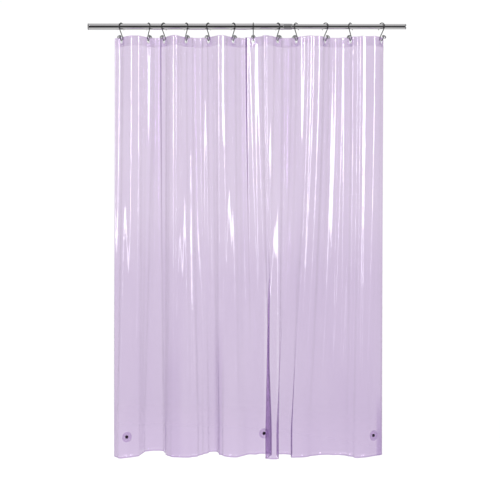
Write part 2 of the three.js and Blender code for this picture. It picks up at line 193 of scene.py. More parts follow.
def add_camera():
    data = bpy.data.cameras.new("camera")
    camera = bpy.data.objects.new("camera", data)
    bpy.context.collection.objects.link(camera)
    camera.location = (VIEW_CENTRE.x, -CAMERA_DISTANCE, CAMERA_HEIGHT)
    camera.rotation_euler = (math.radians(90), 0, 0)
    data.sensor_width = SENSOR
    data.lens = SENSOR * CAMERA_DISTANCE / VIEW_WIDTH
    data.shift_y = (VIEW_CENTRE.z - CAMERA_HEIGHT) / VIEW_WIDTH
    data.clip_end = 100
    bpy.context.scene.camera = camera


def add_softbox(name, location, aim, size, power):
    data = bpy.data.lights.new(name, "AREA")
    data.shape = "RECTANGLE"
    data.size, data.size_y = size
    data.energy = power
    light = bpy.data.objects.new(name, data)
    bpy.context.collection.objects.link(light)
    light.location = location
    light.rotation_euler = (Vector(aim) - Vector(location)).to_track_quat("-Z", "Y").to_euler()
    light.visible_camera = False


def add_lights():
    angle = math.radians(SOFTBOX_ANGLE)
    y = -SOFTBOX_DISTANCE * math.cos(angle)
    for word, side in (("left", -1), ("right", 1)):
        x = VIEW_CENTRE.x + side * SOFTBOX_DISTANCE * math.sin(angle)
        for name, low, high, width, strength in SOFTBOX_PARTS:
            height = (low + high) / 2
            label = f"softbox_{name}_{word}"
            power = strength * width * (high - low)
            add_softbox(label, (x, y, height), (VIEW_CENTRE.x, 0, height), (width, high - low), power)


def grey_ramp(nodes, stops):
    ramp = nodes.new("ShaderNodeValToRGB")
    ramp.color_ramp.elements[0].position = stops[0][0]
    ramp.color_ramp.elements[0].color = (*[stops[0][1]] * 3, 1)
    ramp.color_ramp.elements[1].position = stops[-1][0]
    ramp.color_ramp.elements[1].color = (*[stops[-1][1]] * 3, 1)
    for position, grey in stops[1:-1]:
        ramp.color_ramp.elements.new(position).color = (grey, grey, grey, 1)
    return ramp


def room_colour(nodes, links):
    """The greys by height, which give way to white behind the curtain."""
    coords = nodes.new("ShaderNodeTexCoord")
    split = nodes.new("ShaderNodeSeparateXYZ")
    ramp = grey_ramp(nodes, ROOM_GREYS)
    lift = nodes.new("ShaderNodeMath")
    lift.operation = "MULTIPLY_ADD"
    lift.inputs[1].default_value = 0.5
    lift.inputs[2].default_value = 0.5
    links.new(coords.outputs["Generated"], split.inputs[0])
    links.new(split.outputs["Z"], lift.inputs[0])
    links.new(lift.outputs[0], ramp.inputs[0])
    behind = nodes.new("ShaderNodeMapRange")
    behind.interpolation_type = "SMOOTHSTEP"
    behind.inputs["From Min"].default_value = ROOM_BACK[0]
    behind.inputs["From Max"].default_value = ROOM_BACK[1]
    blend = nodes.new("ShaderNodeMix")
    blend.data_type = "RGBA"
    blend.inputs["B"].default_value = (*[ROOM_BACK_GREY] * 3, 1)
    links.new(split.outputs["Y"], behind.inputs["Value"])
    links.new(behind.outputs["Result"], blend.inputs["Factor"])
    links.new(ramp.outputs["Color"], blend.inputs["A"])
    return blend.outputs["Result"]


def add_world():
    """A white studio. What mirrors in the chrome is a room: dark at eye level, light above."""
    world = bpy.data.worlds.new("studio")
    bpy.context.scene.world = world
    world.use_nodes = True
    nodes, links = world.node_tree.nodes, world.node_tree.links
    nodes.clear()
    output = nodes.new("ShaderNodeOutputWorld")
    mix = nodes.new("ShaderNodeMixShader")
    path = nodes.new("ShaderNodeLightPath")
    white = nodes.new("ShaderNodeBackground")
    white.inputs["Color"].default_value = (1, 1, 1, 1)
    white.inputs["Strength"].default_value = STUDIO_WHITE
    room = nodes.new("ShaderNodeBackground")
    links.new(room_colour(nodes, links), room.inputs["Color"])
    links.new(path.outputs["Is Glossy Ray"], mix.inputs[0])
    links.new(white.outputs[0], mix.inputs[1])
    links.new(room.outputs[0], mix.inputs[2])
    links.new(mix.outputs[0], output.inputs[0])


def fade_out(material, shader):
    """Lets the floor melt into the white studio round the curtain's foot, so that no edge shows."""
    nodes, links = material.node_tree.nodes, material.node_tree.links
    coords = nodes.new("ShaderNodeTexCoord")
    length = nodes.new("ShaderNodeVectorMath")
    length.operation = "LENGTH"
    fade = nodes.new("ShaderNodeMapRange")
    fade.inputs["From Min"].default_value = FLOOR_FADE[0]
    fade.inputs["From Max"].default_value = FLOOR_FADE[1]
    clear = nodes.new("ShaderNodeBsdfTransparent")
    mix = nodes.new("ShaderNodeMixShader")
    links.new(coords.outputs["Object"], length.inputs[0])
    links.new(length.outputs["Value"], fade.inputs["Value"])
    links.new(fade.outputs["Result"], mix.inputs[0])
    links.new(shader.outputs[0], mix.inputs[1])
    links.new(clear.outputs[0], mix.inputs[2])
    links.new(mix.outputs[0], nodes["Material Output"].inputs["Surface"])


def add_floor():
    mesh = bpy.data.meshes.new("floor")
    corners = [(-1, -1), (1, -1), (1, 1), (-1, 1)]
    points = [(x * FLOOR_HALF, y * FLOOR_HALF, FLOOR_HEIGHT) for x, y in corners]
    mesh.from_pydata(points, [], [(0, 1, 2, 3)])
    floor = bpy.data.objects.new("floor", mesh)
    bpy.context.collection.objects.link(floor)
    material = bpy.data.materials.new("floor_white")
    material.use_nodes = True
    shader = material.node_tree.nodes["Principled BSDF"]
    shader.inputs["Base Color"].default_value = (0.3, 0.3, 0.3, 1)
    shader.inputs["Roughness"].default_value = 0.9
    shader.inputs["Specular IOR Level"].default_value = 0.0
    shader.inputs["Emission Color"].default_value = (1, 1, 1, 1)
    shader.inputs["Emission Strength"].default_value = FLOOR_GLOW
    fade_out(material, shader)
    floor.data.materials.append(material)
    floor.visible_glossy = False


# ---- materials ----

HAZE_SHARE = 0.008  # of the light that the film scatters
MIRROR_FACING = 0.03  # of the light that it mirrors where it faces the eye
MIRROR_AT_EDGE = 0.45  # what it mirrors besides, where it is edge on
MIRROR_POWER = 3.6

# Where the film looks deeper: the start and end of each ramp, in the frame. Towards the foot and the hem
# the deeper tint is painted shade of the lower folds.
DEEP_SIDE = (0.8, 1.0)
FOOT_PAINTED_SHADE = (-0.75, -1.15)
HEM_PAINTED_SHADE = (-1.3, -1.8)
DEEP_EDGE = (SHEET_BOTTOM + 0.008, SHEET_BOTTOM + 0.003)


def new_material(name):
    material = bpy.data.materials.new(name)
    material.use_nodes = True
    return material, material.node_tree.nodes, material.node_tree.links


def noise_map(nodes, links, scale, detail, low, high, stretch=(1, 1, 1)):
    """A noise over the object's own place, mapped to the range from low to high."""
    coords = nodes.new("ShaderNodeTexCoord")
    mapping = nodes.new("ShaderNodeMapping")
    mapping.inputs["Scale"].default_value = stretch
    noise = nodes.new("ShaderNodeTexNoise")
    noise.inputs["Scale"].default_value = scale
    noise.inputs["Detail"].default_value = detail
    spread = nodes.new("ShaderNodeMapRange")
    spread.inputs["From Min"].default_value = 0.3
    spread.inputs["From Max"].default_value = 0.7
    spread.inputs["To Min"].default_value = low
    spread.inputs["To Max"].default_value = high
    links.new(coords.outputs["Object"], mapping.inputs[0])
    links.new(mapping.outputs[0], noise.inputs["Vector"])
    links.new(noise.outputs["Fac"], spread.inputs["Value"])
    return spread.outputs["Result"]


def add_bump(nodes, links, height, strength, distance, shader):
    bump = nodes.new("ShaderNodeBump")
    bump.inputs["Strength"].default_value = strength
    bump.inputs["Distance"].default_value = distance
    links.new(height, bump.inputs["Height"])
    links.new(bump.outputs[0], shader.inputs["Normal"])


def tinted(nodes, links, factor, first, second):
    mix = nodes.new("ShaderNodeMix")
    mix.data_type = "RGBA"
    mix.inputs["A"].default_value = (*first, 1)
    mix.inputs["B"].default_value = (*second, 1)
    mix.clamp_factor = False
    links.new(factor, mix.inputs["Factor"])
    return mix.outputs["Result"]


def metal(name, light, dark, roughness, scale, stretch=(1, 1, 1), bump=0.05, edge=1, metallic=1):
    material, nodes, links = new_material(name)
    shader = nodes["Principled BSDF"]
    shader.inputs["Metallic"].default_value = metallic
    shader.inputs["Specular Tint"].default_value = (edge, edge, edge, 1)
    tone = noise_map(nodes, links, scale, 4, 0, 1, stretch)
    links.new(tinted(nodes, links, tone, light, dark), shader.inputs["Base Color"])
    rough = noise_map(nodes, links, scale * 3, 3, roughness[0], roughness[1], stretch)
    links.new(rough, shader.inputs["Roughness"])
    fine = noise_map(nodes, links, scale * 8, 2, 0, 1, stretch)
    add_bump(nodes, links, fine, bump, 0.0001, shader)
    return material


def moulded(name, light, dark, scale):
    material, nodes, links = new_material(name)
    shader = nodes["Principled BSDF"]
    tone = noise_map(nodes, links, scale, 5, 0, 1)
    links.new(tinted(nodes, links, tone, light, dark), shader.inputs["Base Color"])
    rough = noise_map(nodes, links, scale * 2, 3, 0.5, 0.7)
    links.new(rough, shader.inputs["Roughness"])
    grain = noise_map(nodes, links, scale * 6, 2, 0, 1)
    add_bump(nodes, links, grain, 0.3, 0.0002, shader)
    shader.inputs["Specular IOR Level"].default_value = 0.2
    return material


def ramp_along(nodes, links, axis, start, end, depth):
    """0 until start and depth from end on, along one axis of the frame."""
    place = nodes.new("ShaderNodeTexCoord")
    split = nodes.new("ShaderNodeSeparateXYZ")
    ramp = nodes.new("ShaderNodeMapRange")
    ramp.interpolation_type = "SMOOTHSTEP"
    ramp.inputs["From Min"].default_value = start
    ramp.inputs["From Max"].default_value = end
    ramp.inputs["To Max"].default_value = depth
    links.new(place.outputs["Object"], split.inputs[0])
    links.new(split.outputs[axis], ramp.inputs["Value"])
    return ramp.outputs["Result"]


def added(nodes, links, terms):
    """The sum of several values."""
    total = terms[0]
    for term in terms[1:]:
        step = nodes.new("ShaderNodeMath")
        step.operation = "ADD"
        links.new(total, step.inputs[0])
        links.new(term, step.inputs[1])
        total = step.outputs[0]
    return total


def deepened(nodes, links, side_depth, foot_shade_depth):
    """Where the film looks deeper: in clouds, to the right, towards the foot as painted shade of the lower
    folds, and where marked with painted shade and light.
    """
    # The vertices' marked depth: painted shade under the lower folds and round the holes, and painted
    # light where negative
    marked = nodes.new("ShaderNodeAttribute")
    marked.attribute_name = "depth"
    clouds = noise_map(nodes, links, 9, 3, 0, 0.3, (1, 1, 0.25))
    side = ramp_along(nodes, links, "X", *DEEP_SIDE, side_depth)
    # Painted shade: the tint deepens towards the foot and the hem, standing for the lower folds' shadows
    foot = ramp_along(nodes, links, "Z", *FOOT_PAINTED_SHADE, foot_shade_depth)
    hem = ramp_along(nodes, links, "Z", *HEM_PAINTED_SHADE, foot_shade_depth * 0.5)
    edge = ramp_along(nodes, links, "Z", *DEEP_EDGE, foot_shade_depth * 2)
    return added(nodes, links, [clouds, side, foot, hem, edge, marked.outputs["Fac"]])


def mirror_share(nodes, links):
    """How much of the light the film mirrors: more the further the face turns away."""
    facing = nodes.new("ShaderNodeLayerWeight")
    facing.inputs["Blend"].default_value = 0.5
    power = nodes.new("ShaderNodeMath")
    power.operation = "POWER"
    power.inputs[1].default_value = MIRROR_POWER
    share = nodes.new("ShaderNodeMath")
    share.operation = "MULTIPLY_ADD"
    share.inputs[1].default_value = MIRROR_AT_EDGE
    share.inputs[2].default_value = MIRROR_FACING
    links.new(facing.outputs["Facing"], power.inputs[0])
    links.new(power.outputs[0], share.inputs[0])
    return share.outputs[0]


def film(name, clear, clear_deep, depths, haze, roughness):
    """Clear tinted film. Light goes straight through each face with its tint, a little scatters and
    some mirrors. clear_deep is the tint where depths, to the side and as painted shade towards the foot,
    add to 1."""
    material, nodes, links = new_material(name)
    nodes.remove(nodes["Principled BSDF"])
    output = nodes["Material Output"]
    through = nodes.new("ShaderNodeBsdfTransparent")
    cloud = nodes.new("ShaderNodeBsdfDiffuse")
    cloud.inputs["Color"].default_value = (*haze, 1)
    mirror = nodes.new("ShaderNodeBsdfGlossy")
    mirror.inputs["Color"].default_value = (1, 1, 1, 1)
    tone = deepened(nodes, links, *depths)
    links.new(tinted(nodes, links, tone, clear, clear_deep), through.inputs["Color"])
    links.new(noise_map(nodes, links, 30, 3, roughness[0], roughness[1]), mirror.inputs["Roughness"])
    ripple = noise_map(nodes, links, 120, 3, 0, 1, (1, 1, 0.2))
    add_bump(nodes, links, ripple, 0.12, 0.0006, mirror)

    milky = nodes.new("ShaderNodeMixShader")
    milky.inputs[0].default_value = HAZE_SHARE
    links.new(through.outputs[0], milky.inputs[1])
    links.new(cloud.outputs[0], milky.inputs[2])

    gloss = nodes.new("ShaderNodeMixShader")
    links.new(mirror_share(nodes, links), gloss.inputs[0])
    links.new(milky.outputs[0], gloss.inputs[1])
    links.new(mirror.outputs[0], gloss.inputs[2])
    links.new(gloss.outputs[0], output.inputs["Surface"])
    return material


MATERIALS = {}


def make_materials():
    MATERIALS["chrome"] = metal(
        "rod_chrome", (0.66, 0.65, 0.66), (0.58, 0.57, 0.58), (0.03, 0.06), 6, (0.3, 1, 1), 0.03
    )
    MATERIALS["wire"] = metal(
        "hook_chrome", (0.05, 0.05, 0.05), (0.03, 0.03, 0.032), (0.08, 0.16), 90, edge=0.1
    )
    MATERIALS["knob"] = metal("knob_chrome", (0.36, 0.35, 0.37), (0.24, 0.23, 0.25), (0.1, 0.2), 120)
    # The eyelets' nickel grey has a slight lilac cast, a painted reflection of the film round them
    MATERIALS["nickel"] = metal(
        "eyelet_nickel", (0.82, 0.8, 0.84), (0.7, 0.67, 0.73), (0.25, 0.35), 200, metallic=0.4
    )
    MATERIALS["bush"] = metal("bush_metallised", (0.4, 0.39, 0.4), (0.3, 0.3, 0.31), (0.14, 0.24), 40)
    MATERIALS["plug"] = moulded("plug_rubber", (0.12, 0.12, 0.125), (0.07, 0.07, 0.075), 150)
    MATERIALS["magnet"] = moulded("magnet_ferrite", (0.02, 0.008, 0.02), (0.008, 0.003, 0.01), 300)
    # The film's depths: to the right, and painted shade towards the foot
    MATERIALS["film"] = film(
        "film_lilac", (0.868, 0.808, 0.905), (0.82, 0.752, 0.867), (0.3, 0.8), (0.80, 0.70, 0.88),
        (0.05, 0.09),
    )
    MATERIALS["header"] = film(
        "film_header", (0.988, 0.984, 0.992), (0.93, 0.90, 0.955), (0, 0), (0.75, 0.64, 0.84), (0.08, 0.16)
    )
    MATERIALS["cover"] = film(
        "film_cover", (0.905, 0.86, 0.935), (0.86, 0.8, 0.905), (0, 0), (0.85, 0.78, 0.9), (0.15, 0.25)
    )


# ---- mesh helpers ----


def add_piece(name, vertices, faces, material, body, node):
    """A finished piece that rides on a body and stands for a CAD node."""
    mesh = bpy.data.meshes.new(name)
    mesh.from_pydata([tuple(v) for v in vertices], [], faces)
    mesh.validate()
    for polygon in mesh.polygons:
        polygon.use_smooth = True
    mesh.update()
    piece = bpy.data.objects.new(name, mesh)
    bpy.context.collection.objects.link(piece)
    mesh.materials.append(MATERIALS[material])
    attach(piece, body)
    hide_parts(node)
    return piece


CORNER_STEPS = 4


def rounded(profile, radius, steps=CORNER_STEPS):
    """A profile with each inner corner rounded by an arc-like curve that reaches radius back."""
    points = [np.array(p, float) for p in profile]
    result = [points[0]]
    for before, corner, after in zip(points, points[1:], points[2:]):
        into, out = before - corner, after - corner
        reach = min(radius, np.linalg.norm(into) / 2.01, np.linalg.norm(out) / 2.01)
        start = corner + into / np.linalg.norm(into) * reach
        end = corner + out / np.linalg.norm(out) * reach
        for step in range(steps + 1):
            t = step / steps
            result.append((1 - t) ** 2 * start + 2 * t * (1 - t) * corner + t * t * end)
    result.append(points[-1])
    return result


def lathe(profile, segments, place, closed=False):
    """Vertices and faces of a (radius, along) profile spun about local Z, then placed by a matrix.
    An open profile starts and ends on the axis."""
    rings = [np.array(p, float) for p in profile]
    if closed:
        rings = rings[:-1]
    vertices, faces, index = [], [], []
    for radius, along in rings:
        if radius < 1e-9:
            index.append([len(vertices)] * segments)
            vertices.append(place @ Vector((0, 0, along)))
            continue
        index.append(list(range(len(vertices), len(vertices) + segments)))
        for turn in np.arange(segments) * 2 * math.pi / segments:
            vertices.append(place @ Vector((radius * math.cos(turn), radius * math.sin(turn), along)))
    last = len(rings) if closed else len(rings) - 1
    for ring in range(last):
        a, b = index[ring], index[(ring + 1) % len(rings)]
        for step in range(segments):
            after = (step + 1) % segments
            corners = [a[step], a[after], b[after], b[step]]
            face = [c for place_in, c in enumerate(corners) if c not in corners[:place_in]]
            if len(face) > 2:
                faces.append(tuple(face))
    return vertices, faces


def sweep(points, radii, sides, across):
    """A tube along planar points with a radius at each, closed at both ends. across is the plane's
    normal."""
    path = np.array(points, float)
    tangents = np.gradient(path, axis=0)
    tangents /= np.linalg.norm(tangents, axis=1)[:, None]
    side = np.array(across, float)
    vertices, faces = [], []
    for point, tangent, radius in zip(path, tangents, radii):
        up = np.cross(side, tangent)
        for turn in np.arange(sides) * 2 * math.pi / sides:
            vertices.append(point + radius * (math.cos(turn) * side + math.sin(turn) * up))
    for ring in range(len(path) - 1):
        for step in range(sides):
            after = (step + 1) % sides
            a, b = ring * sides, (ring + 1) * sides
            faces.append((a + step, a + after, b + after, b + step))
    start, end = len(vertices), len(vertices) + 1
    vertices += [path[0], path[-1]]
    last = (len(path) - 1) * sides
    for step in range(sides):
        after = (step + 1) % sides
        faces.append((start, after, step))
        faces.append((end, last + step, last + after))
    return vertices, faces


def between(start, end, t, first, second):
    """The point at t on the line from first at start to second at end."""
    return (end - t) / (end - start) * first + (t - start) / (end - start) * second


def smooth_path(points, spacing):
    """A centripetal Catmull-Rom curve through the points, resampled evenly."""
    points = np.array(points, float)
    padded = np.vstack([2 * points[0] - points[1], points, 2 * points[-1] - points[-2]])
    fine = []
    for four in zip(padded, padded[1:], padded[2:], padded[3:]):
        gaps = [np.linalg.norm(b - a) ** 0.5 for a, b in zip(four, four[1:])]
        knots = np.cumsum([0] + gaps)
        for t in np.linspace(knots[1], knots[2], 24, endpoint=False):
            first = [between(knots[k], knots[k + 1], t, four[k], four[k + 1]) for k in range(3)]
            second = [between(knots[k], knots[k + 2], t, first[k], first[k + 1]) for k in range(2)]
            fine.append(between(knots[1], knots[2], t, *second))
    fine = np.vstack([fine, points[-1]])
    lengths = np.concatenate([[0], np.cumsum(np.linalg.norm(np.diff(fine, axis=0), axis=1))])
    count = max(2, int(round(lengths[-1] / spacing)) + 1)
    even = np.linspace(0, lengths[-1], count)
    return np.stack([np.interp(even, lengths, fine[:, k]) for k in range(fine.shape[1])], axis=1)


# ---- rod ----

ALONG_X = Matrix(((0, 0, 1, 0), (0, 1, 0, 0), (-1, 0, 0, 0), (0, 0, 0, 1)))


def ring_rounded(ring, edge):
    """A closed profile with every corner rounded."""
    wrapped = ring[-2:-1] + ring + ring[1:2]
    curve = rounded(wrapped, edge)[1:-1]
    return curve[: -CORNER_STEPS - 1] + [curve[0]]


def add_rod():
    for name, node, body, wall in (
        ("outer_tube", "rod_outer_tube", "rod", 0.0009),
        ("inner_tube", "rod_inner_tube", "rod_inner", 0.0012),
    ):
        low, high = (Vector(corner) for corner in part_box(node))
        outer = (high.z - low.z) / 2
        inner = outer - wall
        ring = [(inner, low.x), (outer, low.x), (outer, high.x), (inner, high.x), (inner, low.x)]
        profile = ring_rounded(ring, 0.0004)
        piece = add_piece(name, *lathe(profile, 96, ALONG_X, closed=True), "chrome", body, node)


def paint_carried_nodes():
    """The CAD nodes that stay as they are get their finish here."""
    for node, look in (
        ("rod_plug_left", "plug"),
        ("rod_plug_right", "plug"),
        ("rod_bush", "bush"),
        ("rod_lock_spigot", "plug"),
        ("rod_grip_ring", "plug"),
    ):
        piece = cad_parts[node]
        for part in piece.material_slots:
            part.material = MATERIALS[look]


# ---- hooks ----


def hook_outline():
    """The wire's centre line in its own plane, as (back, up)."""
    points = [(0.0205, -0.013), (0.0196, -0.008)]
    for angle in range(-12, 193, 17):
        turn = math.radians(angle)
        points.append((LOOP_HALF_WIDTH * math.cos(turn), LOOP_HALF_HEIGHT * math.sin(turn)))
    points += [(-0.0166, -0.0095), (-0.008, -0.0215), (0.003, -0.036)]
    for angle in range(30, -146, -25):
        turn = math.radians(angle)
        points.append((
            HOOK_BASE_BACK + HOOK_BASE_RADIUS * math.cos(turn),
            HOOK_BASE_UP + HOOK_BASE_RADIUS * math.sin(turn),
        ))
    points += [(-0.0105, -0.0525), (-0.015, -0.0483)]
    return smooth_path(points, WIRE_SPACING)


def knob_profile():
    base = -KNOB_HEIGHT / 2
    bore = WIRE_RADIUS + 0.0002
    outline = [(0, base + 0.006), (bore, base + 0.006), (bore, base + 0.0002), (KNOB_RADIUS * 0.45, base)]
    outline += [(KNOB_RADIUS * 0.8, base + 0.0012), (KNOB_RADIUS, base + 0.0034)]
    for step in range(1, 10):
        turn = math.radians(step * 10)
        outline.append((KNOB_RADIUS * math.cos(turn), base + 0.0034 + 0.0076 * math.sin(turn)))
    outline.append((0, base + KNOB_HEIGHT))
    return rounded(outline, 0.0006, 3)


def add_hooks():
    """Twelve wires with their knobs. Returns the wires."""
    outline = hook_outline()
    radii = np.ones(len(outline)) * WIRE_RADIUS
    radii[: len(WIRE_TIP_SWELL)] = WIRE_RADIUS * np.array(WIRE_TIP_SWELL)
    pieces = []
    for number in range(HOOK_COUNT):
        label = f"{number + 1:02d}"
        body = "curtain" if number == 0 else f"hook_{label}"
        place = Matrix.Translation((hook_along(number), 0, 0)) @ Matrix.Rotation(
            math.radians(-HOOK_TWISTS[number]), 4, "Z"
        )
        path = [place @ Vector((0, back, up)) for back, up in outline]
        across = place.to_3x3() @ Vector((1, 0, 0))
        wire = add_piece(
            f"wire_{label}", *sweep(path, radii, 14, across), "wire", body, f"hook_wire_{label}"
        )
        stand = place @ Matrix.Translation((0, KNOB_BACK, KNOB_UP))
        stand = stand @ Matrix.Rotation(math.radians(KNOB_TILT - 90), 4, "X")
        knob = add_piece(
            f"knob_{label}", *lathe(knob_profile(), 40, stand), "knob", body, f"hook_knob_{label}"
        )
        pieces.append(wire)
    return pieces


# ---- sheet ----


def slope_at_hole(number):
    """The film's slope in plan at a hole: the hook's own turn and a little more."""
    return math.radians(SLOPE_PAST_HOOK + abs(HOOK_TWISTS[number]))


def fold(slopes, fullness, tilt, fine):
    """The film's line from one hole to the next, starting at the origin."""
    distance = (np.arange(fine) + 0.5) * HOLE_PITCH / fine
    share = np.clip((distance - FLAT_AT_HOLE) / (HOLE_PITCH - 2 * FLAT_AT_HOLE), 0, 1)
    slope = slopes[0] + (slopes[1] - slopes[0]) * share
    wave = np.cos(np.pi * share)
    swell = wave - np.cos(3 * np.pi * share)
    direction = slope * wave + fullness * swell + tilt * np.sin(np.pi * share)
    step = HOLE_PITCH / fine
    x = np.concatenate([[0], np.cumsum(np.cos(direction) * step)])
    y = np.concatenate([[0], np.cumsum(np.sin(direction) * step)])
    return x, y


def fitted_fold(slopes, span, fine=240):
    """The fold with those slopes that ends level, exactly span away."""
    fullness, tilt = 0.0, 0.0
    for _ in range(200):
        x, y = fold(slopes, fullness, tilt, fine)
        fullness += 0.5 * (x[-1] - span) / HOLE_PITCH
        tilt -= y[-1] / HOLE_PITCH
    return fold(slopes, fullness, tilt, fine)


def free_edge(hole, slope, side, end_slope):
    """The film from an outer hole to its free edge, where its slope in degrees is end_slope."""
    steps = 24
    x, y = hole.x, hole.y
    rows = []
    for step in range(steps + 1):
        away = step * EDGE_TO_HOLE / steps
        outer_hole = SHEET_SIZE / 2 + side * (SHEET_SIZE / 2 - EDGE_TO_HOLE)
        rows.append((outer_hole + side * away, x, y))
        share = np.clip((away - FLAT_AT_HOLE) / (EDGE_TO_HOLE - FLAT_AT_HOLE) * 2, 0, 1)
        turn = slope + (math.radians(end_slope) - slope) * share
        x += side * math.cos(turn) * EDGE_TO_HOLE / steps
        y += math.sin(turn) * EDGE_TO_HOLE / steps
    return rows if side > 0 else rows[:0:-1]


def header_line():
    """(distance along the width, x, y) of the film at the header, from edge to edge."""
    rows = free_edge(HOLES[0], slope_at_hole(0), -1, LEFT_EDGE_SLOPE)
    for number in range(HOOK_COUNT - 1):
        start, end = HOLES[number], HOLES[number + 1]
        span = math.hypot(end.x - start.x, end.y - start.y)
        lean = math.atan2(end.y - start.y, end.x - start.x)
        x, y = fitted_fold((slope_at_hole(number), slope_at_hole(number + 1)), span)
        y = -y if number % 2 == 0 else y
        distances = hole_along(number) + np.linspace(0, HOLE_PITCH, len(x))
        for place in range(len(x) - 1):
            rows.append((
                distances[place],
                start.x + x[place] * math.cos(lean) - y[place] * math.sin(lean),
                start.y + x[place] * math.sin(lean) + y[place] * math.cos(lean),
            ))
    rows += free_edge(HOLES[-1], slope_at_hole(HOOK_COUNT - 1), 1, RIGHT_EDGE_SLOPE)
    return np.array(rows)


def lower_line():
    """(distance along the width, x, y) of the lower edge, with its corners softened."""
    line = smooth_path(LOWER_OUTLINE, 0.002)
    reach = 8
    kernel = np.exp(-0.5 * (np.arange(-reach, reach + 1) / 2.6) ** 2)
    kernel /= kernel.sum()
    before = 2 * line[0] - line[reach:0:-1]
    after = 2 * line[-1] - line[-2 : -2 - reach : -1]
    padded = np.vstack([before, line, after])
    line = np.stack([np.convolve(padded[:, k], kernel, "valid") for k in range(2)], axis=1)
    lengths = np.concatenate([[0], np.cumsum(np.linalg.norm(np.diff(line, axis=0), axis=1))])
    return np.column_stack([lengths / lengths[-1] * SHEET_SIZE, line])


def add_marks(marks, end, spacing):
    """Even steps of about the spacing, from the last mark to the end."""
    count = max(1, round(abs(end - marks[-1]) / spacing))
    marks += list(np.linspace(marks[-1], end, count + 1)[1:])


def stations_across():
    """Distances along the width: closer together round each hole."""
    marks = [0.0]
    for number in range(HOOK_COUNT):
        hole = hole_along(number)
        add_marks(marks, hole - NEAR_A_HOLE, ACROSS_SPACING)
        add_marks(marks, hole + NEAR_A_HOLE, FINE_SPACING)
    add_marks(marks, SHEET_SIZE, ACROSS_SPACING)
    return np.array(marks)


def stations_down(bottom):
    """Heights from the top edge down, closer together round the holes."""
    marks = [SHEET_TOP]
    add_marks(marks, HOLE_HEIGHT + NEAR_A_HOLE, TOP_SPACING)
    add_marks(marks, HOLE_HEIGHT - NEAR_A_HOLE, FINE_SPACING)
    add_marks(marks, HEADER_BOTTOM, HEADER_SPACING)
    if bottom < HEADER_BOTTOM:
        add_marks(marks, bottom, DOWN_SPACING)
    return np.array(marks)


def fold_hold(across):
    """How long the folds of the header hold on the way down: least at the narrow pleat."""
    return FOLD_HOLD - PLEAT_EARLY * np.exp(-(((across - PLEAT_MIDDLE) / PLEAT_REACH) ** 2))


def plan_at(header, lower, across, height):
    """x and y of the film at one height, blended from the header's line to the lower edge's."""
    share = np.clip((HEADER_BOTTOM - height) / (HEADER_BOTTOM - SHEET_BOTTOM - HEM_BAND), 0, 1)
    share = share ** fold_hold(across)
    upper_x, upper_y = (np.interp(across, header[:, 0], header[:, k]) for k in (1, 2))
    lower_x, lower_y = (np.interp(across, lower[:, 0], lower[:, k]) for k in (1, 2))
    return upper_x + (lower_x - upper_x) * share, upper_y + (lower_y - upper_y) * share


def normals_of(x, y):
    """The directions at a right angle to a line in plan."""
    dx, dy = np.gradient(x), np.gradient(y)
    size = np.hypot(dx, dy)
    return -dy / size, dx / size


def from_hole(across, height, number):
    """Distances beside and below one hole."""
    return across - hole_along(number), HOLE_HEIGHT - height


def relief(across, height):
    """How far the film stands off its smooth fold, in metres: long soft ripples that fade at the
    holes, and short gathers that fan out below each eyelet."""
    rng = np.random.default_rng(RIPPLE_SEED)
    total = np.zeros_like(across)
    for _ in range(RIPPLE_COUNT):
        width = rng.uniform(*RIPPLE_WIDTHS)
        drop = rng.uniform(*RIPPLE_DROPS)
        phase = rng.uniform(0, 2 * np.pi, 2)
        size = rng.uniform(*RIPPLE_SIZES) * RIPPLE_SLOPE * (width / 0.1)
        sway = RIPPLE_SWAY * np.sin(2 * np.pi * height / drop + phase[1])
        total += size * np.sin(2 * np.pi * across / width + phase[0] + sway)
    for number in range(HOOK_COUNT):
        radius = np.hypot(*from_hole(across, height, number))
        total *= 1 - np.exp(-((radius / 0.016) ** 4))
    for number in range(HOOK_COUNT):
        side, down = from_hole(across, height, number)
        radius = np.hypot(side, down)
        angle = np.arctan2(side, down)
        band = np.clip((radius - 0.0105) / 0.012, 0, 1) * np.exp(-((radius / 0.045) ** 2))
        total += GATHER_SIZE * band * np.cos(6.5 * angle + number) * np.exp(-((angle / 1.3) ** 2))
    return total


def near_hole(across):
    """1 at each hole, falling to 0 between them."""
    place = (across - EDGE_TO_HOLE) / HOLE_PITCH
    gap = (place - np.clip(np.round(place), 0, HOOK_COUNT - 1)) * HOLE_PITCH
    return np.exp(-((gap / 0.018) ** 2))


def droop(across):
    """The free top corners sag a little."""
    edge = np.minimum(across, SHEET_SIZE - across)
    return -0.006 * np.clip(1 - edge / 0.03, 0, 1) ** 1.5


def film_grid(across, heights, offset):
    """Points of the film, offset from its smooth surface: a row for each height."""
    header, lower = header_line(), lower_line()
    grid = np.zeros((len(heights), len(across), 3))
    for row, height in enumerate(heights):
        x, y = plan_at(header, lower, across, height)
        nx, ny = normals_of(x, y)
        level = np.full_like(across, height)
        stand_off = offset + relief(across, level)
        grid[row, :, 0] = x + nx * stand_off
        grid[row, :, 1] = y + ny * stand_off
        fade = np.clip((height - (SHEET_TOP - 0.3)) / 0.3, 0, 1)
        lift = 0.09 * np.clip(y, 0, 0.08) * (1 - near_hole(across))
        grid[row, :, 2] = height + (droop(across) + lift) * fade
    return grid


def in_hole(across, height):
    nearest = np.round((across - EDGE_TO_HOLE) / HOLE_PITCH)
    nearest = min(max(nearest, 0), HOOK_COUNT - 1)
    return math.hypot(*from_hole(across, height, nearest)) < HOLE_RADIUS


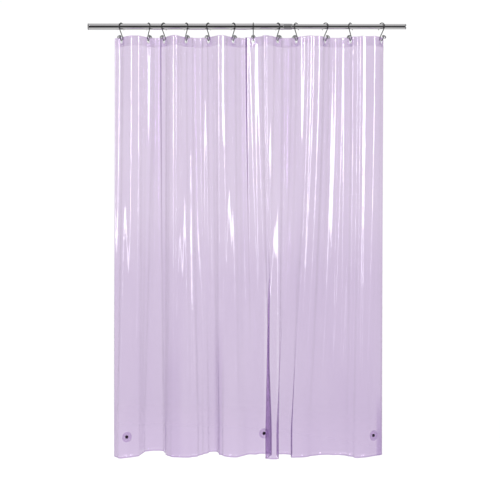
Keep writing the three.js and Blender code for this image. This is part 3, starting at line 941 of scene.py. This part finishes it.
def thin_solid(grid, across, heights, thickness):
    """A closed wall of that thickness on a grid, with the eyelets' holes left open."""
    rows, columns = len(heights), len(across)
    along = np.gradient(grid, axis=1)
    down = np.gradient(grid, axis=0)
    normal = np.cross(along, down)
    normal /= np.linalg.norm(normal, axis=2)[:, :, None]
    layers = [grid + normal * thickness / 2, grid - normal * thickness / 2]
    vertices = np.concatenate([layer.reshape(-1, 3) for layer in layers])
    back = rows * columns
    kept = np.zeros((rows - 1, columns - 1), bool)
    for row in range(rows - 1):
        for column in range(columns - 1):
            middle = (across[column] + across[column + 1]) / 2, (heights[row] + heights[row + 1]) / 2
            kept[row, column] = not in_hole(*middle)
    faces = []
    for row in range(rows - 1):
        for column in range(columns - 1):
            if not kept[row, column]:
                continue
            a = row * columns + column
            b, c, d = a + 1, a + columns + 1, a + columns
            faces.append((a, b, c, d))
            faces.append((a + back, d + back, c + back, b + back))
            sides = (
                (a, b, row - 1, column), (b, c, row, column + 1),
                (c, d, row + 1, column), (d, a, row, column - 1),
            )
            for start, end, r, k in sides:
                inside = 0 <= r < rows - 1 and 0 <= k < columns - 1
                if not inside or not kept[r, k]:
                    faces.append((end, start, start + back, end + back))
    return vertices, faces


def gathered(piece):
    """Gives the piece a mesh of its own."""
    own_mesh(piece)


def add_film_piece(vertices, faces, name, look, node):
    """A piece of film, without the loose vertices in its holes."""
    piece = add_piece(name, vertices, faces, look, "curtain", node)
    work = bmesh.new()
    work.from_mesh(piece.data)
    loose = [vertex for vertex in work.verts if not vertex.link_faces]
    bmesh.ops.delete(work, geom=loose, context="VERTS")
    work.to_mesh(piece.data)
    work.free()
    return piece


def mark_depth(piece, values):
    """Writes how much deeper the film looks at each vertex: painted shade, and painted light where the
    value is negative.
    """
    marks = piece.data.attributes.new("depth", "FLOAT", "POINT")
    marks.data.foreach_set("value", np.array(values, np.float32))


def paint_fold_shade_and_light(piece):
    """Painted shade under the film's lower folds and at the right-hand corner, and painted light where the
    depth is negative.
    """
    place = np.array([vertex.co for vertex in piece.data.vertices])
    total = np.zeros(len(place))
    for middle, reach, top, full, depth in PAINTED_FOLD_SHADE_AND_LIGHT:
        rise = np.clip((top - place[:, 2]) / (top - full), 0, 1)
        total += depth * rise * np.exp(-(((place[:, 0] - middle) / reach) ** 4))
    return total


def paint_shade_round_holes(strip):
    """Painted shade on the header, for its steep flanks and wrinkles, at each point: most round the holes,
    in a fan.
    """
    values = []
    holes = np.array([[hole.x, hole.y, hole.z] for hole in HOLES])
    for vertex in strip.data.vertices:
        place = np.array(vertex.co)
        aside = np.hypot(holes[:, 0] - place[0], holes[:, 1] - place[1])
        nearest = int(np.argmin(aside))
        down = holes[nearest, 2] - place[2]
        spread = math.hypot(aside[nearest] / 0.024, down / 0.034)
        fan = 0.75 + 0.25 * math.cos(9 * math.atan2(aside[nearest], down) + nearest)
        values.append(fan * math.exp(-(spread ** 4)))
    return values


def add_film():
    """The sheet and the header's second layer, each a closed wall."""
    across = stations_across()
    heights = stations_down(SHEET_BOTTOM)
    solid = thin_solid(film_grid(across, heights, 0), across, heights, SHEET_THICKNESS)
    sheet = add_film_piece(*solid, "film_sheet", "film", "curtain_sheet")
    mark_depth(sheet, paint_fold_shade_and_light(sheet))

    strip_heights = stations_down(HEADER_BOTTOM)
    strip_grid = film_grid(across, strip_heights, HEADER_STAND_OFF)
    solid = thin_solid(strip_grid, across, strip_heights, SHEET_THICKNESS)
    strip = add_film_piece(*solid, "film_header", "header", "header_strip")
    # Painted shade round the holes on the header
    mark_depth(strip, paint_shade_round_holes(strip))
    return sheet, strip


# ---- eyelets and magnets ----


def across_film(foot, before, after):
    """A matrix with its local Z square to the film, which runs from before to after in plan."""
    slope = math.atan2(after[1] - before[1], after[0] - before[0])
    place = Matrix.Translation(foot) @ Matrix.Rotation(slope, 4, "Z")
    return place @ Matrix.Rotation(math.radians(-90), 4, "X")


def eyelet_profile():
    """A tube with a flange at each end."""
    half = EYELET_HALF
    return [
        (EYELET_BORE, -half), (EYELET_BORE + 0.0012, -half - 0.0006), (EYELET_RADIUS, -half + 0.0002),
        (EYELET_RADIUS, -half + 0.001), (EYELET_BORE + 0.0009, -half + 0.0008),
        (EYELET_BORE + 0.0009, half - 0.0008), (EYELET_RADIUS, half - 0.001),
        (EYELET_RADIUS, half - 0.0002), (EYELET_BORE + 0.0012, half + 0.0006), (EYELET_BORE, half),
        (EYELET_BORE, -half),
    ]


def add_eyelets():
    header = header_line()
    for number, hole in enumerate(HOLES):
        label = f"{number + 1:02d}"
        body = "curtain" if number == 0 else f"hook_{label}"
        before, after = (
            [np.interp(hole_along(number) + step, header[:, 0], header[:, k]) for k in (1, 2)]
            for step in (-0.006, 0.006)
        )
        place = across_film(hole, before, after)
        profile = ring_rounded(eyelet_profile(), 0.0005)
        piece = add_piece(
            f"grommet_{label}", *lathe(profile, 40, place, closed=True), "nickel", body, f"eyelet_{label}"
        )


# The magnet's disc and the film patch over it, as (radius, distance from the film)
MAGNET_PROFILE = [(0, 0.0008), (0.007, 0.0008), (0.007, 0.0033), (0, 0.0033)]
COVER_PROFILE = [
    (0, 0.0037), (0.0085, 0.0037), (0.012, 0.0007), (0.0225, 0.0005), (0.0225, 0.0009),
    (0.0128, 0.0011), (0.009, 0.0042), (0, 0.0042),
]


def add_magnets():
    """Discs behind the film, each under its patch. Returns them all."""
    lower = lower_line()
    pieces = []
    for side in ("left", "middle", "right"):
        centre = centre_of(f"magnet_{side}")
        nearest = np.argmin(np.hypot(lower[:, 1] - centre.x, lower[:, 2] - centre.y))
        foot = Vector((lower[nearest][1], lower[nearest][2], centre.z))
        place = across_film(foot, lower[nearest - 8][1:], lower[nearest + 8][1:])
        disc = lathe(rounded(MAGNET_PROFILE, 0.0005), 40, place)
        magnet = add_piece(f"disc_{side}", *disc, "magnet", "curtain", f"magnet_{side}")
        patch = lathe(rounded(COVER_PROFILE, 0.001), 48, place)
        cover = add_piece(f"patch_{side}", *patch, "cover", "curtain", f"magnet_cover_{side}")
        pieces += [magnet, cover]
    return pieces


add_camera()
add_lights()
add_world()
add_floor()
make_materials()
add_rod()
paint_carried_nodes()
WIRES = add_hooks()
SHEET, STRIP = add_film()
add_eyelets()
MAGNETS = add_magnets()
for soft in [SHEET, STRIP, *MAGNETS]:
    gathered(soft)
bpy.context.scene.view_settings.view_transform = "Standard"
bpy.context.scene.cycles.transparent_max_bounces = 32
